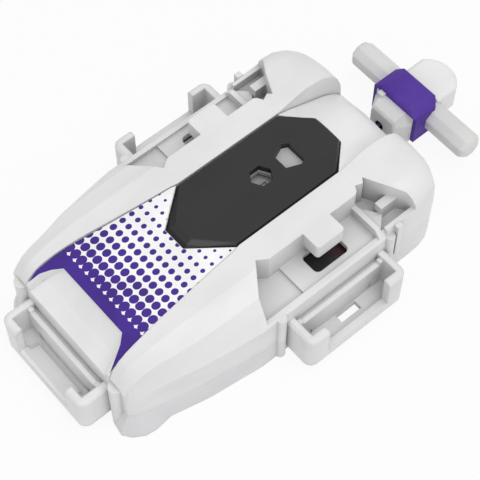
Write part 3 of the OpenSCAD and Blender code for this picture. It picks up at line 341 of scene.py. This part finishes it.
# Painted shade: the cord's hole in the nose is dark purple inside and round its rim
def paintBoreShade(shader, here, base, paintedBoreShade):
    axes = shader.parts(here)
    reach = (axes[0] * axes[0] + (axes[2] - paintedBoreShade["z"]) ** 2) ** 0.5
    return shader.colours(reach > paintedBoreShade["radius"], colour(paintedBoreShade["colour"]), base)


# Painted shadow: the panel is almost black low down, where it meets its seat
def paintFootShadow(shader, here, base, paintedFootShadow):
    above = shader.span(shader.parts(here)[2], paintedFootShadow["fromZ"], paintedFootShadow["toZ"])
    return shader.colours(above, colour(paintedFootShadow["colour"]), base)


# A box with soft sides, for what shows in the slots and windows, the front plate and the panel's bevels,
# where it paints shade on the left bevel and light on the right one
def tintBox(shader, here, base, patch):
    soft = patch["soft"]
    inside = 1.0
    for along, low, high in zip(shader.parts(here), patch["low"], patch["high"]):
        entered = shader.span(along, low - soft, low + soft)
        left = shader.span(along, high - soft, high + soft)
        inside = inside * entered * (1 - left)
    return shader.colours(inside, base, colour(patch["colour"]))


def mouldedPlastic(name, look):
    shader = Shader(name)
    here = shader.place()
    grain = shader.noise(here, look["grain"], *mould["grainDetail"])
    streaks = shader.stretched(here, mould["flowStretch"])
    flow = shader.noise(streaks, look["flow"] * mould["flowScale"], *mould["flowDetail"])
    cloud = shader.span(flow, mould["flowFrom"], mould["flowTo"])
    soft = shader.softNormal(look["edgeRadius"])
    edge = shader.edges(soft)
    hollowShade = shader.hollows(mould["hollowShadeReach"])
    strokes = shader.stretched(here, mould["scuffStretch"])
    scuffs = shader.span(shader.noise(strokes, mould["scuffScale"], *mould["scuffDetail"]),
                         mould["scuffFrom"], mould["scuffTo"])
    base = shader.colours(cloud, colour(look["colour"]), colour(look["flowColour"]))
    # Painted shade: the hollows darken towards a greyer colour
    base = shader.colours(hollowShade * hollowShade * mould["hollowShade"], base, colour(look["hollowShadeColour"]))
    # Painted shade: deep pockets darken further, as far as the look's depth says
    if "depth" in look:
        depth = shader.hollows(mould["depthReach"], alone=True)
        base = shader.colours(depth * look["depth"], base, colour(look["hollowShadeColour"]))
    # Painted highlight along the edges, partly wear: they turn paler
    base = shader.colours(edge * mould["edge"], base, colour(look["edgeColour"]))
    if "paintedBoreShade" in look:
        base = paintBoreShade(shader, here, base, look["paintedBoreShade"])
    if "paintedFootShadow" in look:
        base = paintFootShadow(shader, here, base, look["paintedFootShadow"])
    for patch in look.get("patches", []):
        base = tintBox(shader, here, base, patch)
    rough = look["rough"] + (cloud - 0.5) * mould["roughFlow"] + (grain - 0.5) * mould["roughGrain"]
    rough = (rough + scuffs * mould["roughScuff"] - edge * mould["roughEdge"]).within()
    height = grain + cloud * mould["bumpFlow"] + scuffs * mould["bumpScuff"]
    shader.set(Base_Color=base, Roughness=rough)
    shader.set(Normal=shader.bump(height, mould["bump"], look["grainDepth"] * 2, soft))
    shader.set(IOR=mould["ior"], Specular_IOR_Level=look.get("shine", mould["shine"]))
    return shader.material


# Printed label: a solid band at the nose that breaks into rows of dots towards the panel
label = {
    "paper": "fafafa",
    "paperShade": "f1f1f2",
    "ink": "46298f",
    "inkShade": "402584",
    "stepX": 2.277,
    "stepY": 2.755,
    "firstX": 1.79,
    "firstY": -39.72,
    "softness": 0.05,
    "lengthen": 0.9,
    "toothScale": 9.0,
    "cloudScale": 0.12,
    "speckScale": 5.0,
    "wander": 0.05,
    "speckFade": 0.12,
    "rough": 0.34,
    "roughInk": 0.05,
    "roughTooth": 0.06,
    "roughSpeck": 0.08,
    "relief": 0.02,
    "shine": 0.25,
    "radii": [(-50, 2.2), (-48.3, 1.95), (-46.65, 1.33), (-45.3, 1.18), (-42.5, 1.1), (-39.7, 1.02),
              (-34.2, 0.84), (-28.7, 0.65), (-23.2, 0.46), (-20.4, 0.37), (-15, 0.22)],
}


def halftoneInk(shader, x, y):
    column = (x - label["firstX"]) / label["stepX"]
    row = (y - label["firstY"]) / label["stepY"]
    sideways = (column - column.rounded()) * label["stepX"]
    lengthways = (row - row.rounded()) * (label["stepY"] * label["lengthen"])
    low, high = label["radii"][0][0], label["radii"][-1][0]
    stops = [((place - low) / (high - low), (r / 2, r / 2, r / 2, 1.0)) for place, r in label["radii"]]
    radius = shader.node("ShaderNodeValToRGB", {"stops": stops}, {0: (y - low) / (high - low)}) * 2.0
    away = (sideways * sideways + lengthways * lengthways) ** 0.5
    return ((radius - away) / label["softness"] + 0.5).within()


def printedLabel(name):
    shader = Shader(name)
    here = shader.place()
    axes = shader.parts(here)
    tooth = shader.noise(here, label["toothScale"])
    cloud = shader.span(shader.noise(here, label["cloudScale"]), 0.35, 0.65)
    speck = shader.span(shader.noise(here, label["speckScale"], 3.0, 0.65), 0.7, 0.78)
    ink = halftoneInk(shader, axes[0] + (tooth - 0.5) * label["wander"], axes[1])
    paper = shader.colours(cloud, colour(label["paper"]), colour(label["paperShade"]))
    inked = shader.colours(cloud, colour(label["ink"]), colour(label["inkShade"]))
    shader.set(Base_Color=shader.colours(ink * (1 - speck * label["speckFade"]), paper, inked))
    rough = label["rough"] + ink * label["roughInk"] + (tooth - 0.5) * label["roughTooth"]
    shader.set(Roughness=(rough + speck * label["roughSpeck"]).within())
    shader.set(Normal=shader.bump(tooth * 0.3 + ink * 0.5, 0.3, label["relief"], shader.softNormal(0.15)))
    shader.set(Specular_IOR_Level=label["shine"])
    return shader.material


# Steel: turning marks round the upright axis, and a blued finish for the springs
steels = {
    "screwSteel": {"colour": "b9b9bb", "shade": "8f9094", "rough": 0.3, "marks": 5.0, "depth": 0.006},
    "pinSteel": {"colour": "a9abb0", "shade": "83858b", "rough": 0.24, "marks": 7.0, "depth": 0.004},
    "springSteel": {"colour": "6d7a8c", "shade": "4b5360", "rough": 0.33, "marks": 3.0, "depth": 0.005},
}
# Lighter edges are partly wear and partly a painted highlight; the hollows get painted shade
steelWearAndShade = {
    "edgeColour": "d6d6d8", "edgeRadius": 0.1, "edge": 0.5,
    "steelHollowShadeColour": "3c3a38", "steelHollowShadeReach": 0.8, "steelHollowShade": 0.6,
    "lineScale": 1.6, "cloudScale": 0.35, "bump": 0.4,
    "roughLines": 0.16, "roughInHollows": 0.25, "roughEdge": 0.06,
}


def turnedSteel(name, look):
    shader = Shader(name)
    here = shader.place()
    lines = shader.noise(shader.stretched(here, (0.3, 0.3, look["marks"])), steelWearAndShade["lineScale"], 3.0, 0.6)
    cloud = shader.span(shader.noise(here, steelWearAndShade["cloudScale"], 3.0, 0.6), 0.3, 0.7)
    soft = shader.softNormal(steelWearAndShade["edgeRadius"])
    edge = shader.edges(soft)
    steelHollowShade = shader.hollows(steelWearAndShade["steelHollowShadeReach"])
    base = shader.colours(cloud, colour(look["colour"]), colour(look["shade"]))
    # Painted highlight along the edges, partly wear
    base = shader.colours(edge * steelWearAndShade["edge"], base, colour(steelWearAndShade["edgeColour"]))
    # Painted shade in the hollows
    base = shader.colours(steelHollowShade * steelHollowShade * steelWearAndShade["steelHollowShade"], base, colour(steelWearAndShade["steelHollowShadeColour"]))
    rough = look["rough"] + (lines - 0.5) * steelWearAndShade["roughLines"] + steelHollowShade * steelWearAndShade["roughInHollows"]
    shader.set(Base_Color=base, Metallic=1.0)
    shader.set(Roughness=(rough - edge * steelWearAndShade["roughEdge"]).within())
    shader.set(Normal=shader.bump(lines, steelWearAndShade["bump"], look["depth"], soft))
    return shader.material


# Cord: twisted nylon strands in a deep purple
cordLook = {
    "colour": "35204f", "shade": "1d1130", "fuzzColour": "56407a", "fuzz": 0.6,
    # Painted shade between the strands
    "grooveShadeColour": "120a1e", "grooveShade": 0.7, "grooveShadeReach": 0.35, "fibreScale": 3.4,
    "rough": 0.62, "roughFibres": 0.2, "sheen": 0.25, "bump": 0.5, "relief": 0.03,
}


def cordNylon(name):
    shader = Shader(name)
    here = shader.place()
    fibres = shader.noise(shader.stretched(here, (3.0, 1.0, 3.0)), cordLook["fibreScale"], 4.0, 0.65)
    cloud = shader.span(shader.noise(here, 0.8), 0.35, 0.65)
    grooveShade = shader.hollows(cordLook["grooveShadeReach"])
    base = shader.colours(cloud, colour(cordLook["colour"]), colour(cordLook["shade"]))
    fuzz = shader.span(fibres, 0.55, 0.72)
    base = shader.colours(fuzz * cordLook["fuzz"], base, colour(cordLook["fuzzColour"]))
    # Painted shade: the cord darkens between its strands
    base = shader.colours(grooveShade * cordLook["grooveShade"], base, colour(cordLook["grooveShadeColour"]))
    shader.set(Base_Color=base, Sheen_Weight=cordLook["sheen"])
    shader.set(Roughness=(cordLook["rough"] + (fibres - 0.5) * cordLook["roughFibres"]).within())
    shader.set(Normal=shader.bump(fibres, cordLook["bump"], cordLook["relief"]))
    return shader.material


materials = {name: mouldedPlastic(name, look) for name, look in plastics.items()}
materials.update({name: turnedSteel(name, look) for name, look in steels.items()})
materials["labelPrint"] = printedLabel("labelPrint")
materials["cordNylon"] = cordNylon("cordNylon")
print("materials made:", len(materials))

finishes = {
    "shellWhite": ["upper_shell"],
    "lowerWhite": ["lower_shell"],
    "socketWhite": ["grip_socket_right", "grip_socket_left"],
    "frontWhite": ["grip_socket_front"],
    "spineWhite": ["spine_cover"],
    "panelDark": ["top_panel"],
    "labelPrint": ["printed_label"],
    "chassisDark": ["gear_chassis"],
    "headDark": ["launch_head", "release_plunger"],
    "coverGrey": ["gear_cover"],
    "bushGrey": ["exit_bush"],
    "reelGrey": ["string_reel"],
    "gearNylon": ["reel_gear", "idler_gear", "launch_pinion"],
    "bareGrey": ["launch_shaft"],
    "screwSteel": ["cover_screws", "case_screws", "chassis_screws", "handle_screws"],
    "paintedScrew": ["socket_screws"],
    "pinSteel": ["shaft_clip", "reel_axle", "idler_pin"],
    "springSteel": ["plunger_spring", "recoil_spring"],
    "handleWhite": ["handle_bar"],
    "knobWhite": ["handle_knob"],
    "noseWhite": ["handle_nose"],
    "saddlePurple": ["handle_saddle"],
    "cordNylon": ["string_inner", "string_run", "string_knot", "string_winding"],
}
for finish, members in finishes.items():
    for member in members:
        mesh = nodes[member].data
        mesh.materials.clear()
        mesh.materials.append(materials[finish])
print("finishes laid on the nodes")

# Facets of round surfaces turn smooth, and edges sharper than the angle stay crisp.
# The shell's humps, from rearFrom on, are rounder than its nose.
creases = {
    "saddle": {"angle": 60, "members": ["handle_saddle"]},
    "panel": {"angle": 8, "members": ["top_panel"]},
    "shell": {"angle": 15, "rearAngle": 36, "rearFrom": 15.9, "members": ["upper_shell"]},
    "spine": {"angle": 24, "members": ["spine_cover", "printed_label"]},
}
special = [member for look in creases.values() for member in look["members"]]
creases["usual"] = {"angle": 28, "members": sorted(set(nodes) - set(special))}
smoothing = {"merge": 0.002, "flatWeight": 60}


def creaseGroup(name, look):
    group = bpy.data.node_groups.new(name, "GeometryNodeTree")
    group.interface.new_socket("Mesh", in_out="INPUT", socket_type="NodeSocketGeometry")
    group.interface.new_socket("Mesh", in_out="OUTPUT", socket_type="NodeSocketGeometry")
    work = Shader(name, group)
    start = work.node("NodeGroupInput")
    merged = work.node("GeometryNodeMergeByDistance", inputs={"Geometry": start,
                                                              "Distance": smoothing["merge"] * mm})
    bend = work.node("GeometryNodeInputMeshEdgeAngle")
    limit = math.radians(look["angle"])
    if "rearAngle" in look:
        y = work.parts(work.node("GeometryNodeInputPosition"))[1]
        limit = limit + (y > look["rearFrom"] * mm) * (math.radians(look["rearAngle"]) - limit)
    shaded = work.node("GeometryNodeSetMeshNormal", {"mode": "SHARPNESS"}, {
        "Mesh": merged, "Remove Custom": True, "Edge Sharpness": bend > limit, "Face Sharpness": False})
    end = group.nodes.new("NodeGroupOutput")
    work.feed(end.inputs[0], shaded)
    return group


for name, look in creases.items():
    group = creaseGroup(name + "Creases", look)
    for member in look["members"]:
        smoother = nodes[member].modifiers.new("creases", "NODES")
        smoother.node_group = group
        weighted = nodes[member].modifiers.new("flats", "WEIGHTED_NORMAL")
        weighted.keep_sharp = True
        weighted.weight = smoothing["flatWeight"]
print("facets smoothed")


# The cord is a tube of three strands, laid in twist, and the coil spring is a plain round one
cordMake = {"radius": 0.5, "strands": 3, "lay": 3.2, "swell": 0.208, "sides": 18, "finish": "cordNylon"}


# A path in millimetres as even steps, each with the way ahead
def evenSteps(path, step):
    points = [Vector(p) for p in path]
    lengths = [0.0]
    for a, b in zip(points, points[1:]):
        lengths.append(lengths[-1] + (b - a).length)
    total = lengths[-1]
    count = max(4, round(total / step))
    spots = []
    k = 0
    for i in range(count + 1):
        want = total * i / count
        while k < len(points) - 2 and lengths[k + 1] < want:
            k += 1
        share = (want - lengths[k]) / max(1e-9, lengths[k + 1] - lengths[k])
        spots.append(points[k].lerp(points[k + 1], share))
    aheads = [(spots[min(i + 1, count)] - spots[max(i - 1, 0)]).normalized() for i in range(count + 1)]
    return spots, aheads, total


# The radius at an angle of the section, which swells over each strand
def strandRadius(make, angle, twist):
    bulge = abs(math.cos(make["strands"] * (angle - twist) / 2))
    return make["radius"] * (1 - make["swell"] * (1 - bulge))


def tubeMesh(name, path, make=cordMake, step=0.16):
    spots, aheads, total = evenSteps(path, step)
    sides = make["sides"]
    work = bmesh.new()
    rings = []
    side = aheads[0].orthogonal().normalized()
    for i, (spot, ahead) in enumerate(zip(spots, aheads)):
        side = (side - ahead * side.dot(ahead)).normalized()
        other = ahead.cross(side)
        twist = 2 * math.pi * (total * i / (len(spots) - 1)) / make["lay"]
        ring = []
        for j in range(sides):
            angle = 2 * math.pi * j / sides
            outward = math.cos(angle) * side + math.sin(angle) * other
            ring.append(work.verts.new((spot + strandRadius(make, angle, twist) * outward) * mm))
        rings.append(ring)
    for a, b in zip(rings, rings[1:]):
        for j in range(sides):
            work.faces.new((a[j], a[(j + 1) % sides], b[(j + 1) % sides], b[j]))
    work.faces.new(list(reversed(rings[0])))
    work.faces.new(rings[-1])
    mesh = bpy.data.meshes.new(name)
    work.to_mesh(mesh)
    work.free()
    for face in mesh.polygons:
        face.use_smooth = True
    mesh.materials.append(materials[make["finish"]])
    made = bpy.data.objects.new(name, mesh)
    scene.collection.objects.link(made)
    return made


# The middle and the two corners of a node's box, in millimetres
def placeOf(node):
    low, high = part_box(node)
    return (low + high) / 2 / mm, low / mm, high / mm


innerMiddle, innerLow, innerHigh = placeOf("string_inner")
runMiddle, runLow, runHigh = placeOf("string_run")
knotMiddle, knotLow, knotHigh = placeOf("string_knot")
windMiddle, windLow, windHigh = placeOf("string_winding")
cordThick = 2 * cordMake["radius"]

# The straight stretch between the housing and the handle
run = tubeMesh("cordRun", [(0, runLow.y, runMiddle.z), (0, runHigh.y, runMiddle.z)])
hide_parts("string_run")
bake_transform(run)

# The stretch inside leaves the winding at a tangent and reaches the exit bush
insideEnds = {"fromWinding": 0.1, "fromBush": 0.05}
insideStart = (innerHigh.x - cordMake["radius"], innerLow.y + insideEnds["fromWinding"],
               innerMiddle.z + (innerMiddle.z - runMiddle.z))
inside = tubeMesh("cordInside", [insideStart, (0, innerHigh.y - insideEnds["fromBush"], runMiddle.z)])
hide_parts("string_inner")
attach(inside, "housing")

# The knot behind the nose hole: the cord comes in straight and ends in a trefoil
knotMake = {"size": 0.34, "depth": 1.5, "points": 72, "start": 0.6,
            "fromRear": 1.5, "leadIn": 1.4, "leadOut": 1.1}
knotSpot = Vector((0, knotHigh.y - knotMake["fromRear"], knotMiddle.z))
knotPath = [(0, knotLow.y, knotMiddle.z), (0, knotLow.y + knotMake["leadIn"], knotMiddle.z),
            (0, knotSpot.y - knotMake["leadOut"], knotMiddle.z)]
for i in range(knotMake["points"] + 1):
    t = 2 * math.pi * i / knotMake["points"] + knotMake["start"]
    across = Vector((math.sin(t) + 2 * math.sin(2 * t), -math.sin(3 * t) * knotMake["depth"],
                     math.cos(t) - 2 * math.cos(2 * t)))
    knotPath.append(knotSpot + across * knotMake["size"])
knot = tubeMesh("cordKnot", knotPath)
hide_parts("string_knot")
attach(knot, "handle")

# The wound cord: one helix up the drum and one back over it
windMake = {"layers": 2, "stepsInTurn": 60, "step": 0.4}
windRadius = (windHigh.x - windLow.x) / 2
rows = round((windHigh.z - windLow.z) / cordThick)
spiral = []
for layer in range(windMake["layers"]):
    r = windRadius - cordMake["radius"] - (windMake["layers"] - 1 - layer) * cordThick
    for i in range(rows * windMake["stepsInTurn"] + 1):
        turn = i / windMake["stepsInTurn"]
        z = windLow.z + cordThick * min(max(turn, 0.5), rows - 0.5)
        if layer:
            z = windLow.z + windHigh.z - z
        angle = 2 * math.pi * turn
        spiral.append((windMiddle.x + r * math.cos(angle), windMiddle.y + r * math.sin(angle), z))
winding = tubeMesh("cordWinding", spiral, step=windMake["step"])
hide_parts("string_winding")
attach(winding, "reel")
print("cord pieces made")

# The coil spring in the launch head
springMake = {"radius": 0.2, "strands": 0, "lay": 1.0, "swell": 0.0, "sides": 12, "finish": "springSteel",
              "turns": 3.4, "flatTurns": 0.7, "stepsInTurn": 48, "step": 0.12}
springMiddle, springLow, springHigh = placeOf("plunger_spring")
coilRadius = (springHigh.x - springLow.x) / 2 - springMake["radius"]
coilRise = springHigh.z - springLow.z - 2 * springMake["radius"]
coil = []
coilSteps = round(springMake["turns"] * springMake["stepsInTurn"])
for i in range(coilSteps + 1):
    turn = springMake["turns"] * i / coilSteps
    rise = (turn - springMake["flatTurns"]) / (springMake["turns"] - 2 * springMake["flatTurns"])
    angle = 2 * math.pi * turn
    coil.append((springMiddle.x + coilRadius * math.cos(angle), springMiddle.y + coilRadius * math.sin(angle),
                 springLow.z + springMake["radius"] + coilRise * min(max(rise, 0), 1)))
spring = tubeMesh("plungerCoil", coil, springMake, step=springMake["step"])
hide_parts("plunger_spring")
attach(spring, "launcher")
pressed = [j for j in frame["record"]["behaviour"]["joints"] if j["name"] == "plunger_press"][0]["range_m"][1]
1 - pressed / mm / (springHigh.z - springLow.z)
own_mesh(spring)
print("plunger spring made")

# Floor and light, in metres and watts
studio = {
    "floorColour": "ececec",
    "floorShade": "e6e6e6",
    "floorSize": 3.0,
    "floorDrop": 0.0001,
    "floorRough": 0.9,
    "floorWhite": 0.9,
    "aim": (0, 0, 0.015),
    "worldLight": 0.65,
    "lamps": [
        {"name": "highBox", "at": (0.17, 0.02, 0.75), "size": (0.6, 0.28), "power": 1.8},
        {"name": "rightBox", "at": (0.56, 0.0, 0.56), "size": (0.3, 0.3), "power": 0.5},
        {"name": "frontBox", "at": (0.3, -0.56, 0.42), "size": (0.3, 0.3), "power": 0.15},
    ],
}
white = (1, 1, 1, 1)


# 1 for what the camera sees straight or in a mirror, and 0 for light that the scene receives
def seenDirectly(shader):
    path = shader.node("ShaderNodeLightPath", output="Is Camera Ray")
    outputs = path.socket.node.outputs
    glossy = Link(shader, outputs["Is Glossy Ray"])
    through = Link(shader, outputs["Is Transmission Ray"])
    return path.most(glossy).most(through)


def addFloor():
    work = bmesh.new()
    bmesh.ops.create_grid(work, x_segments=24, y_segments=24, size=studio["floorSize"])
    mesh = bpy.data.meshes.new("studioFloor")
    work.to_mesh(mesh)
    work.free()
    floor = bpy.data.objects.new("studioFloor", mesh)
    floor.location = (0, 0, -studio["floorDrop"])
    scene.collection.objects.link(floor)
    shader = Shader("floorPaper")
    cloud = shader.noise(shader.place(), 0.01, 2.0)
    shader.set(Base_Color=shader.colours(cloud, colour(studio["floorColour"]), colour(studio["floorShade"])))
    shader.set(Roughness=studio["floorRough"])
    paper = Link(shader, shader.surface.outputs[0])
    glow = shader.node("ShaderNodeEmission", inputs={"Color": white, "Strength": 1.0})
    share = seenDirectly(shader) * studio["floorWhite"]
    mixed = shader.node("ShaderNodeMixShader", inputs={0: share, 1: paper, 2: glow})
    out = shader.tree.nodes["Material Output"]
    shader.feed(out.inputs["Surface"], mixed)
    mesh.materials.append(shader.material)


def addWorld():
    world = bpy.data.worlds.new("studioWorld")
    world.use_nodes = True
    scene.world = world
    shader = Shader("world", world.node_tree)
    world.node_tree.nodes.clear()
    light = shader.node("ShaderNodeBackground", inputs={"Color": white, "Strength": studio["worldLight"]})
    plain = shader.node("ShaderNodeBackground", inputs={"Color": white, "Strength": 1.0})
    mixed = shader.node("ShaderNodeMixShader", inputs={0: seenDirectly(shader), 1: light, 2: plain})
    out = world.node_tree.nodes.new("ShaderNodeOutputWorld")
    shader.feed(out.inputs["Surface"], mixed)


def addLamps():
    aim = Vector(studio["aim"])
    for lamp in studio["lamps"]:
        data = bpy.data.lights.new(lamp["name"], "AREA")
        data.shape = "RECTANGLE"
        data.size, data.size_y = lamp["size"]
        data.energy = lamp["power"]
        made = bpy.data.objects.new(lamp["name"], data)
        made.location = lamp["at"]
        made.rotation_mode = "QUATERNION"
        made.rotation_quaternion = (aim - Vector(lamp["at"])).to_track_quat("-Z", "Y")
        scene.collection.objects.link(made)


addFloor()
addWorld()
addLamps()
print("studio set")
